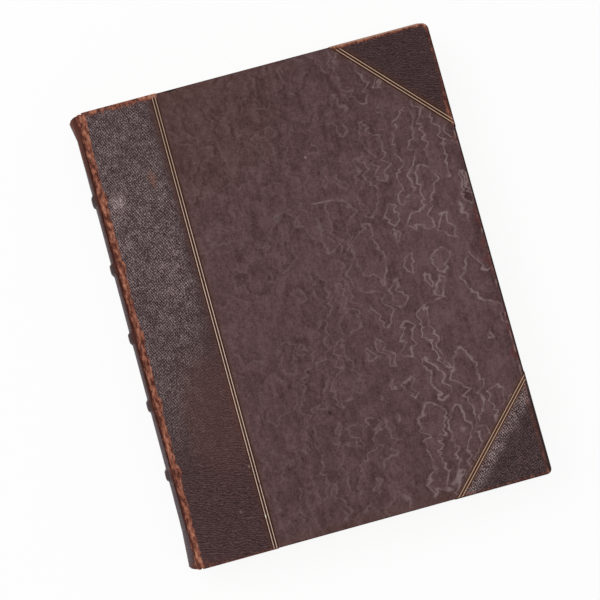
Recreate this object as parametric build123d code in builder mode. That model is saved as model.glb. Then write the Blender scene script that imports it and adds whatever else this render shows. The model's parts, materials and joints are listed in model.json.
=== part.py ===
from build123d import *
from math import hypot, sqrt
import os

# A closed half-leather book lying on its back cover: spine towards -X, head towards +Y.
# The origin is under the middle of the book. All lengths are in millimetres.

# Whole book, measured over its coverings
cover_width = 233.0
cover_height = 305.0
book_thickness = 38.0
cover_corner_radius = 3.6

# Layers of a cover, from the outside in
leather_thickness = 0.8
cloth_thickness = 0.5
board_thickness = 3.2
turn_in_thickness = 0.5
turn_in_width = 15.0
pastedown_thickness = 0.25
pastedown_margin = 3.5
skin_round_share = 0.75

# Leather on the outside of a cover
leather_side_width = 50.1
head_corner_legs = (66.4, 72.0)
tail_corner_legs = (65.2, 68.0)

# Gilt double lines, each laid at the bottom of a shallow impressed groove
gilt_line_width = 0.7
gilt_line_pitch = 1.84
gilt_line_margin = 1.1
gilt_thickness = 0.1
gilt_groove_depth = 0.2
gilt_line_count = 2

# Leaves: how far they stand back from the cover, and the hollow of the fore-edge
leaf_setback = 4.0
fore_edge_hollow = 5.0

# Rounded spine with its ridges along the joints
spine_bulge = 7.85
ridge_drop = 0.3
ridge_radius = 3.0
ridge_run_share = 0.8
lining_thickness = 0.6

# Raised bands, placed as shares of the cover's height below its head edge
band_place_shares = (0.189, 0.340, 0.492, 0.641, 0.7915)
band_width = 6.4
band_height = 1.5
band_round = 1.4
band_sink = 0.5

# Caps where the leather turns in at the ends of the spine
cap_setback = 1.3
cap_flare_length = 14.0
head_cap_flare = 2.1
tail_cap_flare = 0.6
cap_round = 2.6
cap_rim_share = 1.2
cap_lip = 1.6
endband_radius = 0.85

# Clearances
joint_gap = 0.4
page_gap = 0.3
glue_gap = 0.2
overrun = 5.0

# Places worked out from the sizes above
spine_reach = spine_bulge + max(band_height, head_cap_flare, tail_cap_flare)
joint_x = (spine_reach - cover_width) / 2
spine_edge_x = joint_x - joint_gap / 2
cover_start_x = joint_x + joint_gap / 2
cover_end_x = joint_x + cover_width
middle_z = book_thickness / 2
head_y = cover_height / 2
tail_y = -cover_height / 2

core_top_z = book_thickness - leather_thickness
core_bottom_z = core_top_z - board_thickness
turn_in_bottom_z = core_bottom_z - turn_in_thickness
pastedown_bottom_z = turn_in_bottom_z - pastedown_thickness
block_top_z = pastedown_bottom_z - page_gap
block_bottom_z = book_thickness - block_top_z

block_head_y = head_y - leaf_setback
block_tail_y = tail_y + leaf_setback
fore_edge_x = cover_end_x - leaf_setback
ridge_half_height = middle_z - ridge_drop
ridge_run = ridge_radius * ridge_run_share
lining_inset = leather_thickness + glue_gap
block_inset = lining_inset + lining_thickness + glue_gap
cord_width = band_width - 2 * lining_inset
cap_head_y = head_y - cap_setback
cap_tail_y = tail_y + cap_setback
band_places = [head_y - share * cover_height for share in band_place_shares]
middle_plane = Plane.XY.offset(middle_z)


# Plane across the book at a place along its height, with local Y upwards
def section_at(y):
    return Plane.XZ.offset(-y)


# Radius of the arc that bulges from ridge to ridge, and the x of its centre
def spine_arc(bulge):
    sagitta = bulge - ridge_run
    radius = (ridge_half_height**2 + sagitta**2) / (2 * sagitta)
    return radius, joint_x - bulge + radius


# Cross-section of the spine out to the joint, drawn in by an inset from the leather's outer face
def spine_section(y, bulge, inset):
    radius, center_x = spine_arc(bulge)
    inset_radius = radius - inset
    half_height = ridge_half_height - inset
    corner_x = center_x - sqrt(inset_radius**2 - half_height**2)
    top_corner = (corner_x, middle_z + half_height)
    bottom_corner = (corner_x, middle_z - half_height)
    top_edge = (spine_edge_x, middle_z + half_height)
    bottom_edge = (spine_edge_x, middle_z - half_height)
    with BuildSketch(section_at(y)) as section:
        with BuildLine():
            ThreePointArc(top_corner, (center_x - inset_radius, middle_z), bottom_corner)
            Polyline(bottom_corner, bottom_edge, top_edge, top_corner)
        make_face()
        fillet(section.vertices().group_by(Axis.X)[0], ridge_radius - inset)
    return section.sketch


# Band round the spine that sinks into it towards the ridges, drawn in by an inset
def raised_band(y, inset):
    top_x = joint_x - spine_bulge - band_height
    sagitta = spine_bulge + band_height - ridge_run + band_sink
    radius = (ridge_half_height**2 + sagitta**2) / (2 * sagitta)
    depth = band_height + block_inset
    band_axis = Axis((top_x + radius, y, middle_z), (0, 1, 0))
    with BuildPart() as band:
        with BuildSketch(middle_plane) as hump:
            with Locations((top_x + inset, y)):
                Rectangle(depth, band_width - 2 * inset, align=(Align.MIN, Align.CENTER))
            fillet(hump.vertices().group_by(Axis.X)[0], band_round - inset)
        revolve(axis=band_axis)
        split(bisect_by=Plane.YZ.offset(joint_x - ridge_run), keep=Keep.BOTTOM)
    return band.part


# Plan of a cover at a height, drawn in from its finished edge and square at the joint
def cover_plan(z, inset):
    width = cover_end_x - inset - cover_start_x
    height = cover_height - 2 * inset
    with BuildSketch(Plane.XY.offset(z)) as plan:
        with Locations((cover_start_x, 0)):
            Rectangle(width, height, align=(Align.MIN, Align.CENTER))
        fillet(plan.vertices().group_by(Axis.X)[-1], cover_corner_radius - inset)
    return plan.sketch


# Rectangle on the inside of a cover, clear of the three outer edges by a margin
def inner_field(z, margin):
    width = cover_end_x - margin - cover_start_x
    with BuildSketch(Plane.XY.offset(z)) as field:
        with Locations((cover_start_x, 0)):
            Rectangle(width, cover_height - 2 * margin, align=(Align.MIN, Align.CENTER))
    return field.sketch


# Plan of the leather along the joint
def side_region():
    with BuildSketch() as region:
        with Locations((joint_x, 0)):
            Rectangle(leather_side_width, cover_height + overrun, align=(Align.MIN, Align.CENTER))
    return region.sketch


# Plan of a leather corner, with its slanted edge moved towards the tip by a setback
def corner_region(z, legs, edge_y, setback):
    slant = hypot(*legs)
    leg_x = legs[0] - setback * slant / legs[1]
    leg_y = legs[1] - setback * slant / legs[0]
    inward = -1 if edge_y > 0 else 1
    outside_y = edge_y - inward * overrun
    outside_x = cover_end_x + overrun
    along_edge = (cover_end_x - leg_x - overrun * leg_x / leg_y, outside_y)
    along_fore_edge = (outside_x, edge_y + inward * (leg_y + overrun * leg_y / leg_x))
    with BuildSketch(Plane.XY.offset(z)) as region:
        with BuildLine():
            Polyline((outside_x, outside_y), along_edge, along_fore_edge, close=True)
        make_face()
    return region.sketch


# Gilt lines in plan: two along the leather side and two across each corner
def gilt_plan(z):
    inner_width = cover_width - leather_thickness
    inner_height = cover_height - 2 * leather_thickness
    with BuildSketch(Plane.XY.offset(z)) as lines:
        for line in range(gilt_line_count):
            setback = gilt_line_margin + line * gilt_line_pitch
            with Locations((joint_x + leather_side_width - setback, 0)):
                Rectangle(gilt_line_width, inner_height)
            for legs, edge_y in ((head_corner_legs, head_y), (tail_corner_legs, tail_y)):
                near_edge = corner_region(0, legs, edge_y, setback - gilt_line_width / 2)
                far_edge = corner_region(0, legs, edge_y, setback + gilt_line_width / 2)
                add((near_edge - far_edge).faces())
        with Locations((joint_x, 0)):
            Rectangle(inner_width, inner_height, align=(Align.MIN, Align.CENTER), mode=Mode.INTERSECT)
    return lines.sketch


# Skin of one thickness round a board: outer face, three edges and the turn-ins
def covering(skin):
    drop = leather_thickness - skin
    with BuildPart() as blank:
        extrude(cover_plan(turn_in_bottom_z, drop), amount=book_thickness - drop - turn_in_bottom_z)
        rim = blank.faces().filter_by(Axis.Z).edges().sort_by(Axis.X)[2:]
        fillet(rim, skin * skin_round_share)
        add(front_board.part, mode=Mode.SUBTRACT)
    return blank.part


# Text block: rounded and backed at the spine, hollow at the fore-edge
with BuildPart() as text_block:
    extrude(spine_section(block_head_y, spine_bulge, block_inset), amount=block_head_y - block_tail_y)
    with BuildSketch(section_at(block_head_y)):
        with BuildLine():
            leaf_root_x = joint_x - ridge_run
            ThreePointArc(
                (fore_edge_x, block_top_z),
                (fore_edge_x - fore_edge_hollow, middle_z),
                (fore_edge_x, block_bottom_z),
            )
            Polyline(
                (fore_edge_x, block_bottom_z),
                (leaf_root_x, block_bottom_z),
                (leaf_root_x, block_top_z),
                (fore_edge_x, block_top_z),
            )
        make_face()
    extrude(amount=block_head_y - block_tail_y)

# Linings pasted on the back of the leaves, between the cords
lining_heads = [block_head_y] + [y - cord_width / 2 - glue_gap for y in band_places]
lining_tails = [y + cord_width / 2 + glue_gap for y in band_places] + [block_tail_y]
with BuildPart() as spine_linings:
    for lining_head, lining_tail in zip(lining_heads, lining_tails):
        extrude(spine_section(lining_head, spine_bulge, lining_inset), amount=lining_head - lining_tail)
    back_section = spine_section(block_head_y, spine_bulge, block_inset - glue_gap)
    extrude(back_section, amount=block_head_y - block_tail_y, mode=Mode.SUBTRACT)

# Cords across the back of the leaves, one under each raised band
with BuildPart() as sewing_cords:
    for place in band_places:
        add(raised_band(place, lining_inset))
    back_section = spine_section(block_head_y, spine_bulge, block_inset - glue_gap)
    extrude(back_section, amount=block_head_y - block_tail_y, mode=Mode.SUBTRACT)


# Endband: a cord laid round the curve of the spine on the end of the leaves
def endband(y):
    radius, center_x = spine_arc(spine_bulge)
    with BuildPart() as band:
        with BuildSketch(middle_plane):
            with Locations((center_x - radius + cap_round, y)):
                Circle(endband_radius)
        revolve(axis=Axis((center_x, y, middle_z), (0, 1, 0)))
        split(bisect_by=Plane.YZ.offset(joint_x - ridge_run), keep=Keep.BOTTOM)
    return band.part


with BuildPart() as head_endband:
    add(endband(block_head_y + endband_radius))

with BuildPart() as tail_endband:
    add(endband(block_tail_y - endband_radius))

# Room inside the spine leather, rounded at both ends like its outside
with BuildPart() as spine_room:
    room_length = cap_head_y - cap_tail_y - 2 * leather_thickness
    extrude(spine_section(cap_head_y - leather_thickness, spine_bulge, leather_thickness), amount=room_length)
    for end_face in spine_room.faces().filter_by(Axis.Y):
        fillet(end_face.edges().sort_by(Axis.X)[:-1], cap_round - leather_thickness)

# Leather of the spine: bands, flared caps and the lips turned in over the endbands
with BuildPart() as spine_leather:
    head_flare_y = cap_head_y - cap_flare_length
    tail_flare_y = cap_tail_y + cap_flare_length
    cap_rim = cap_round * cap_rim_share
    head_foot = spine_section(head_flare_y, spine_bulge, 0)
    tail_foot = spine_section(tail_flare_y, spine_bulge, 0)
    head_rim = spine_section(cap_head_y - cap_rim, spine_bulge + head_cap_flare, 0)
    tail_rim = spine_section(cap_tail_y + cap_rim, spine_bulge + tail_cap_flare, 0)
    extrude(head_foot, amount=head_flare_y - tail_flare_y)
    loft([head_foot, head_rim], ruled=True)
    loft([tail_foot, tail_rim], ruled=True)
    extrude(head_rim, amount=-cap_rim)
    extrude(tail_rim, amount=cap_rim)
    for end_face in spine_leather.faces().filter_by(Axis.Y):
        fillet(end_face.edges().sort_by(Axis.X)[:-1], cap_round)
    for place in band_places:
        add(raised_band(place, 0))
    add(spine_room.part, mode=Mode.SUBTRACT)
    for place in band_places:
        add(raised_band(place, leather_thickness), mode=Mode.SUBTRACT)
    lip_opening = spine_section(head_y, spine_bulge, leather_thickness + cap_lip)
    extrude(lip_opening, amount=cover_height, mode=Mode.SUBTRACT)

# Front board with its filling-in, which brings the inside level with the turn-ins
with BuildPart() as front_board:
    extrude(cover_plan(core_bottom_z, leather_thickness), amount=board_thickness)
    extrude(inner_field(turn_in_bottom_z, leather_thickness + turn_in_width), amount=turn_in_thickness)

# Endpaper pasted on the inside of the front board
with BuildPart() as front_pastedown:
    extrude(inner_field(pastedown_bottom_z, pastedown_margin), amount=pastedown_thickness)

# Gilt lines and the grooves that they lie in
gilt_floor_z = book_thickness - gilt_groove_depth
with BuildPart() as front_gilt_lines:
    extrude(gilt_plan(gilt_floor_z), amount=gilt_thickness)

# Grooved leather round the whole front board, from which its side and corners are cut
with BuildPart() as leather_skin:
    add(covering(leather_thickness))
    extrude(gilt_plan(gilt_floor_z), amount=gilt_groove_depth, mode=Mode.SUBTRACT)

# Leather over the joint side of the front board
with BuildPart() as front_leather_side:
    add(leather_skin.part)
    extrude(side_region(), amount=book_thickness, mode=Mode.INTERSECT)

# Leather over the two outer corners of the front board
with BuildPart() as front_head_corner:
    add(leather_skin.part)
    extrude(corner_region(0, head_corner_legs, head_y, 0), amount=book_thickness, mode=Mode.INTERSECT)

with BuildPart() as front_tail_corner:
    add(leather_skin.part)
    extrude(corner_region(0, tail_corner_legs, tail_y, 0), amount=book_thickness, mode=Mode.INTERSECT)

# Cloth over the rest of the front board
with BuildPart() as front_cloth_side:
    add(covering(cloth_thickness))
    extrude(side_region(), amount=book_thickness, mode=Mode.SUBTRACT)
    extrude(corner_region(0, head_corner_legs, head_y, 0), amount=book_thickness, mode=Mode.SUBTRACT)
    extrude(corner_region(0, tail_corner_legs, tail_y, 0), amount=book_thickness, mode=Mode.SUBTRACT)

block_pieces = {
    "text_block": text_block,
    "spine_linings": spine_linings,
    "sewing_cords": sewing_cords,
    "head_endband": head_endband,
    "tail_endband": tail_endband,
    "spine_leather": spine_leather,
}
cover_pieces = {
    "board": front_board,
    "pastedown": front_pastedown,
    "leather_side": front_leather_side,
    "cloth_side": front_cloth_side,
    "head_corner": front_head_corner,
    "tail_corner": front_tail_corner,
    "gilt_lines": front_gilt_lines,
}

os.makedirs("parts", exist_ok=True)
for name, piece in block_pieces.items():
    piece.part.label = name
    export_step(piece.part, f"parts/{name}.step")

# The back cover is the front cover mirrored through the middle of the leaves
for name, front_piece in cover_pieces.items():
    front_piece.part.label = "front_" + name
    export_step(front_piece.part, f"parts/front_{name}.step")
    with BuildPart() as back_piece:
        mirror(front_piece.part, about=middle_plane)
    back_piece.part.label = "back_" + name
    export_step(back_piece.part, f"parts/back_{name}.step")
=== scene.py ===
import bmesh
import bpy
import json
import math
import random
from mathutils import Matrix, Vector


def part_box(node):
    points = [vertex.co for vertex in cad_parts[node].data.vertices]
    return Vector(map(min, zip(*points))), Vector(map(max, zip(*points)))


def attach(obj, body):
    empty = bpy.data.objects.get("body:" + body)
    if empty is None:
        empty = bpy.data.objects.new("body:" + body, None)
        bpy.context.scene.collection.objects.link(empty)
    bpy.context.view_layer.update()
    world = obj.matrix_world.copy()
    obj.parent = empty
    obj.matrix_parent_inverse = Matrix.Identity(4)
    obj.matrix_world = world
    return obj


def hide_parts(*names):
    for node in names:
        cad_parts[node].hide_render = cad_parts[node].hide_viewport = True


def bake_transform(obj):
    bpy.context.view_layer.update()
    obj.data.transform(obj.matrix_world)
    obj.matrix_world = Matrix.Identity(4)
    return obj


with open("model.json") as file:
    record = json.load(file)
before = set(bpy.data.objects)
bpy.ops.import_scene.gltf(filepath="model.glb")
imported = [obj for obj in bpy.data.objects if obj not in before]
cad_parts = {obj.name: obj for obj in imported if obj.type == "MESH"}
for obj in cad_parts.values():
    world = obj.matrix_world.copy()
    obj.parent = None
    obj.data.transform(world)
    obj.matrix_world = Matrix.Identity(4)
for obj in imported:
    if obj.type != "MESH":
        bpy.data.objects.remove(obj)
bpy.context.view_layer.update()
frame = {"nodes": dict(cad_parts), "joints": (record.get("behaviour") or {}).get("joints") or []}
mm = 0.001  # lengths are in mm, but in metres for the camera, floor and light
hair = 1e-6  # slack when points are found by their place
hinges = {joint["name"]: joint for joint in frame["joints"]}
jointX, _, topZ = hinges["front_cover_hinge"]["pos_m"]
midZ = topZ / 2
sideLow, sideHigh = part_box("front_leather_side")
clothLow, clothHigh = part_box("front_cloth_side")
headLow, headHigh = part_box("front_head_corner")
tailLow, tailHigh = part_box("front_tail_corner")
spineLow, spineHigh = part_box("spine_leather")
_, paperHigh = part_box("front_pastedown")
print("frame loaded:", len(frame["nodes"]), "solids")


# picking and editing
def clearPick():
    if bpy.context.mode != "OBJECT":
        bpy.ops.object.mode_set(mode="OBJECT")
    bpy.ops.object.select_all(action="DESELECT")


def choose(piece):
    clearPick()
    piece.select_set(True)
    bpy.context.view_layer.objects.active = piece


def openPiece(piece):
    choose(piece)
    bpy.ops.object.mode_set(mode="EDIT")
    bpy.ops.mesh.select_mode(type="VERT")


def pick(piece, kind, test):
    modes = {"verts": "VERT", "edges": "EDGE", "faces": "FACE"}
    bpy.ops.mesh.select_mode(type=modes[kind])
    bpy.ops.mesh.select_all(action="DESELECT")
    shape = bmesh.from_edit_mesh(piece.data)
    shape.normal_update()
    for part in getattr(shape, kind):
        if test(part):
            part.select_set(True)
    shape.select_flush_mode()
    bmesh.update_edit_mesh(piece.data)


def pickAll():
    bpy.ops.mesh.select_all(action="SELECT")


def slide(x, y, z):
    bpy.ops.transform.translate(value=(x, y, z))


def rescale(sizes, centre):
    bpy.ops.transform.resize(value=sizes, center_override=centre)


def swell(away):
    bpy.ops.transform.shrink_fatten(value=away)


def relax(times, **limits):
    bpy.ops.mesh.vertices_smooth(factor=0.5, repeat=times, **limits)


def drawOut(x, y, z):
    bpy.ops.mesh.extrude_region_move(TRANSFORM_OT_translate={"value": (x, y, z)})


def joinClose(gap):
    pickAll()
    bpy.ops.mesh.remove_doubles(threshold=gap)


def faceTowards(piece, way):  # most of the faces look this way
    pickAll()
    shape = bmesh.from_edit_mesh(piece.data)
    shape.normal_update()
    if sum(face.normal.dot(way) * face.calc_area() for face in shape.faces) < 0:
        bpy.ops.mesh.flip_normals()


def middle(edge):
    return (edge.verts[0].co + edge.verts[1].co) / 2


def newPiece(name):
    piece = bpy.context.object
    piece.name = name
    piece.data.name = name
    bpy.ops.object.transform_apply(location=True, rotation=True, scale=True)
    return piece


def useModifier(piece, kind, values):
    choose(piece)
    bpy.ops.object.modifier_add(type=kind)
    made = piece.modifiers[-1]
    for key, value in values.items():
        setattr(made, key, value)
    bpy.ops.object.modifier_apply(modifier=made.name)


def smoothPiece(piece, degrees):
    choose(piece)
    bpy.ops.object.shade_smooth_by_angle(angle=math.radians(degrees))


def pointRow(name, x, z, length, rowCuts):  # points along y, all of them picked
    clearPick()
    bpy.ops.mesh.primitive_plane_add(size=1, location=(x, 0, z))
    row = newPiece(name)
    openPiece(row)
    pickAll()
    rescale((mm, length, 1), (x, 0, z))
    pick(row, "verts", lambda v: v.co.x > x)
    bpy.ops.mesh.delete(type="VERT")
    pickAll()
    slide(0.5 * mm, 0, 0)
    for cuts in rowCuts:
        bpy.ops.mesh.subdivide(number_cuts=cuts)
    return row


def mirrorBelow(piece, name):  # the same piece on the other side of the book
    choose(piece)
    bpy.ops.object.duplicate()
    copy = newPiece(name)
    openPiece(copy)
    pickAll()
    rescale((1, 1, -1), (0, 0, midZ))
    bpy.ops.mesh.flip_normals()
    clearPick()
    return copy


def paint(piece, finish):
    piece.data.materials.clear()
    piece.data.materials.append(finish)


def settle(piece, body, node, finish):
    paint(piece, finish)
    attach(piece, body)
    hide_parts(node)


# shader sums
class Wire:
    def __init__(self, tree, socket):
        self.tree = tree
        self.socket = socket

    def plug(self, socket, value):
        if isinstance(value, Wire):
            self.tree.links.new(value.socket, socket)
        else:
            socket.default_value = value

    def node(self, kind, settings, sockets, out=0):
        made = self.tree.nodes.new(kind)
        for key, value in settings.items():
            setattr(made, key, value)
        for key, value in sockets.items():
            self.plug(made.inputs[key], value)
        return Wire(self.tree, made.outputs[out])

    def twin(self, out):  # another output of the same node
        return Wire(self.tree, self.socket.node.outputs[out])

    def calc(self, operation, *terms):
        return self.node("ShaderNodeMath", {"operation": operation}, dict(enumerate(terms)))

    def __add__(self, other):
        return self.calc("ADD", self, other)

    def __radd__(self, other):
        return self.calc("ADD", other, self)

    def __sub__(self, other):
        return self.calc("SUBTRACT", self, other)

    def __rsub__(self, other):
        return self.calc("SUBTRACT", other, self)

    def __mul__(self, other):
        return self.calc("MULTIPLY", self, other)

    def __rmul__(self, other):
        return self.calc("MULTIPLY", other, self)

    def __truediv__(self, other):
        return self.calc("DIVIDE", self, other)

    def __rtruediv__(self, other):
        return self.calc("DIVIDE", other, self)

    def __pow__(self, other):
        return self.calc("POWER", self, other)

    def __abs__(self):
        return self.calc("ABSOLUTE", self)


def tint(red, green, blue):  # screen values 0 to 255
    shares = [value / 255 for value in (red, green, blue)]
    straight = [c / 12.92 if c <= 0.04045 else ((c + 0.055) / 1.055) ** 2.4 for c in shares]
    return (*straight, 1.0)


def step(value, low, high):  # smooth rise from 0 at low to 1 at high, or a fall where low is the larger
    settings = {"interpolation_type": "SMOOTHSTEP"}
    return value.node("ShaderNodeMapRange", settings, {"Value": value, "From Min": low, "From Max": high})


def larger(first, *others):
    for other in others:
        first = first.calc("MAXIMUM", first, other)
    return first


def lesser(first, *others):
    for other in others:
        first = first.calc("MINIMUM", first, other)
    return first


def shade(amount, below, above):  # colour mix
    return amount.node("ShaderNodeMix", {"data_type": "RGBA"}, {0: amount, 6: below, 7: above}, 2)


def noise(point, detail, rough):
    sockets = {"Vector": point, "Scale": 1.0, "Detail": detail, "Roughness": rough}
    return point.node("ShaderNodeTexNoise", {"noise_dimensions": "3D"}, sockets)


def wave(value, pitch):
    return value.calc("SINE", value * (2 * math.pi / pitch))


def cloud(place, sizes, detail=2.0, rough=0.5, shift=(0, 0, 0), turn=0.0):  # feature sizes in mm
    scale = [1 / size for size in sizes]
    sockets = {"Vector": place, "Location": shift, "Rotation": (0, 0, turn), "Scale": scale}
    return noise(place.node("ShaderNodeMapping", {"vector_type": "POINT"}, sockets), detail, rough)


def axes(place):
    split = place.node("ShaderNodeSeparateXYZ", {}, {0: place})
    return split, split.twin(1), split.twin(2)


def dab(x, y, centre, half, turn=0.0):  # soft round mark in the cover's plane
    c, s = math.cos(turn), math.sin(turn)
    across = (x - centre[0]) * c + (y - centre[1]) * s
    along = (y - centre[1]) * c - (x - centre[0]) * s
    away = (across / half[0]) ** 2.0 + (along / half[1]) ** 2.0
    return step(away, 1.0, 0.1)


def addMarks(colour, x, y, ragged, marks, speck=None):
    for mark in marks:
        spot = dab(x, y, mark["at"], mark["half"], mark.get("turn", 0.0))
        spot = spot * step(ragged, *mark["ragged"]) * mark["amount"]
        if mark.get("grain"):  # the mark keeps to the tops of the grain
            spot = spot * (1 - mark["grain"] + speck * mark["grain"])
        colour = shade(spot, colour, tint(*mark["tint"]))
    return colour


def startFinish(name):  # place comes out in mm
    finish = bpy.data.materials.new(name)
    finish.use_nodes = True
    tree = finish.node_tree
    tree.nodes.clear()
    output = tree.nodes.new("ShaderNodeOutputMaterial")
    shader = tree.nodes.new("ShaderNodeBsdfPrincipled")
    tree.links.new(shader.outputs[0], output.inputs[0])
    coords = tree.nodes.new("ShaderNodeTexCoord")
    metres = Wire(tree, coords.outputs["Object"])
    place = metres.node("ShaderNodeVectorMath", {"operation": "SCALE"}, {0: metres, "Scale": 1000.0})
    return finish, shader, place


def endFinish(shader, colour, rough, height, depth, specular):
    colour.plug(shader.inputs["Base Color"], colour)
    colour.plug(shader.inputs["Roughness"], rough)
    bump = colour.node("ShaderNodeBump", {}, {"Strength": 1.0, "Distance": depth * mm, "Height": height})
    colour.plug(shader.inputs["Normal"], bump)
    shader.inputs["Specular IOR Level"].default_value = specular


# camera, floor and light
camera = {
    "place": (-0.05523, -0.073675, 1.327267),
    "right": (0.96436835, -0.26365589, 0.02189198),
    "up": (0.26184952, 0.96302466, 0.06339028),
    "forward": (0.03779573, 0.05539918, -0.99774867),
    "lens": 120.0,
    "sensor": 36.0,
}
studio = {
    "floorWidth": 12.0,
    "floorDrop": 0.8,  # mm
    "floorTone": 0.98,
    "floorGlow": 0.9,
    "worldLevel": 0.62,
    "keyPower": 11.0,
    "keySize": 1.3,
    "keyPlace": (-0.75, 0.55, 1.5),
}


def setCamera():
    lens = bpy.data.cameras.new("camera")
    lens.lens = camera["lens"]
    lens.sensor_width = camera["sensor"]
    eye = bpy.data.objects.new("camera", lens)
    bpy.context.scene.collection.objects.link(eye)
    right, up, forward = (Vector(camera[key]) for key in ("right", "up", "forward"))
    turn = Matrix((right, up, -forward)).transposed()
    eye.matrix_world = Matrix.Translation(Vector(camera["place"])) @ turn.to_4x4()
    bpy.context.scene.camera = eye


def seenDirectly(tree):  # camera, glossy and transmission rays
    rays = tree.nodes.new("ShaderNodeLightPath")
    seen = Wire(tree, rays.outputs["Is Camera Ray"])
    seen = larger(seen, Wire(tree, rays.outputs["Is Glossy Ray"]))
    return larger(seen, Wire(tree, rays.outputs["Is Transmission Ray"]))


def setFloor():
    clearPick()
    width = studio["floorWidth"]
    bpy.ops.mesh.primitive_plane_add(size=width, location=(0, 0, -studio["floorDrop"] * mm))
    floor = newPiece("floor")
    finish = bpy.data.materials.new("paleFloor")
    finish.use_nodes = True
    tree = finish.node_tree
    tree.nodes.clear()
    seen = seenDirectly(tree)
    tone = studio["floorTone"]
    matt = seen.node("ShaderNodeBsdfDiffuse", {}, {"Color": (tone, tone, tone, 1)})
    glow = seen.node("ShaderNodeEmission", {}, {"Color": (1, 1, 1, 1), "Strength": 1.0})
    mixed = seen.node("ShaderNodeMixShader", {}, {0: seen * studio["floorGlow"], 1: matt, 2: glow})
    output = tree.nodes.new("ShaderNodeOutputMaterial")
    tree.links.new(mixed.socket, output.inputs[0])
    floor.data.materials.append(finish)


def setLight():
    world = bpy.data.worlds.new("studio")
    bpy.context.scene.world = world
    world.use_nodes = True
    tree = world.node_tree
    tree.nodes.clear()
    seen = seenDirectly(tree)
    level = studio["worldLevel"] + seen * (1 - studio["worldLevel"])
    sky = seen.node("ShaderNodeBackground", {}, {"Color": (1, 1, 1, 1), "Strength": level})
    output = tree.nodes.new("ShaderNodeOutputWorld")
    tree.links.new(sky.socket, output.inputs[0])
    lamp = bpy.data.lights.new("keyLight", "AREA")
    lamp.energy = studio["keyPower"]
    lamp.size = studio["keySize"]
    key = bpy.data.objects.new("keyLight", lamp)
    bpy.context.scene.collection.objects.link(key)
    key.location = studio["keyPlace"]
    key.rotation_euler = (-Vector(studio["keyPlace"])).to_track_quat("-Z", "Y").to_euler()


bpy.context.scene.view_settings.view_transform = "Standard"
setCamera()
setFloor()
setLight()
print("camera, floor and light set")

# coverings of the boards
covering = {
    "cornerRadius": 3.6,
    "tipStart": 6.6,
    # distance from the fore-edge and drop of the worn tip
    "tipSteps": ((4.2, 0.58), (3.3, 0.12), (2.6, 0.14), (1.9, 0.14), (1.3, 0.12), (0.7, 0.12), (0.25, 0.1)),
    "tipDepth": 6.0,
    "cornerSegments": 12,
    "edgeRound": 0.75,
    "edgeSegments": 4,
    "turnIn": 14.2,
    "leatherThickness": 0.8,
    "clothThickness": 0.5,
    "turnInThickness": 0.5,
    "jointTrim": 2.6,
}
gilt = {
    "margin": 1.1,
    "pitch": 1.84,
    "width": 0.7,
    "grooveSlack": 0.06,
    "grooveWall": 0.3,
    "grooveDepth": 0.2,
    "count": 2,
}


def diagonal(name):  # a point on a corner's slanting edge and the direction into the corner, in the plane
    if name == "head":
        onEdge, onFore = Vector((headLow.x, headHigh.y)), Vector((headHigh.x, headLow.y))
    else:
        onEdge, onFore = Vector((tailLow.x, tailLow.y)), Vector((tailHigh.x, tailHigh.y))
    run = onFore - onEdge
    inward = Vector((-run.y, run.x)).normalized()
    if inward.x < 0:
        inward = -inward
    return onEdge, inward


headEdge, headInward = diagonal("head")
tailEdge, tailInward = diagonal("tail")
giltOffsets = [gilt["margin"] + gilt["pitch"] * i for i in range(gilt["count"])]
headY = sideHigh.y / mm
giltX, foreX, hingeX, halfZ = (value / mm for value in (sideHigh.x, headHigh.x, jointX, midZ))
boardHigh = Vector((headHigh.x, sideHigh.y, sideHigh.z))


def foldedSheet(name, low, high):  # cover wrapped round three edges of the board and turned in
    clearPick()
    bpy.ops.mesh.primitive_cube_add(size=1, location=(low + high) / 2, scale=high - low)
    sheet = newPiece(name)
    openPiece(sheet)
    pick(sheet, "edges", lambda e: middle(e).x > high.x - mm and abs(e.verts[0].co.z - e.verts[1].co.z) > mm)
    bpy.ops.mesh.bevel(
        offset=covering["cornerRadius"] * mm, segments=covering["cornerSegments"], affect="EDGES"
    )
    pick(sheet, "faces", lambda f: f.normal.x < -0.9)
    bpy.ops.mesh.delete(type="FACE")
    pick(sheet, "edges", lambda e: len(e.link_faces) == 2 and e.calc_face_angle() > 1.2)
    bpy.ops.mesh.bevel(offset=covering["edgeRound"] * mm, segments=covering["edgeSegments"], affect="EDGES")
    pick(sheet, "faces", lambda f: f.normal.z < -0.99)
    bpy.ops.mesh.inset(thickness=covering["turnIn"] * mm, use_boundary=False)
    bpy.ops.mesh.delete(type="FACE")
    setIn = (covering["edgeRound"] + covering["turnIn"]) * mm
    for end, edge in ((1, high.y), (-1, low.y)):  # mitred corner of the turn-in
        mitre = (high.x - setIn, edge - end * setIn, low.z)
        nearX, nearY = mitre[0] - 0.1 * mm, mitre[1] - end * 0.1 * mm

        def pastMitre(vert):
            onTurnIn = vert.is_boundary and vert.co.z < low.z + 0.1 * mm
            return onTurnIn and vert.co.x > nearX and (vert.co.y - nearY) * end > 0

        pick(sheet, "verts", pastMitre)
        rescale((0, 0, 1), mitre)
    joinClose(0.005 * mm)
    return sheet


def cutAcross(point, normal, drop=""):
    pickAll()
    bpy.ops.mesh.bisect(
        plane_co=Vector(point).to_3d(),
        plane_no=Vector(normal).to_3d(),
        clear_inner=drop == "behind",
        clear_outer=drop == "ahead",
    )


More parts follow.
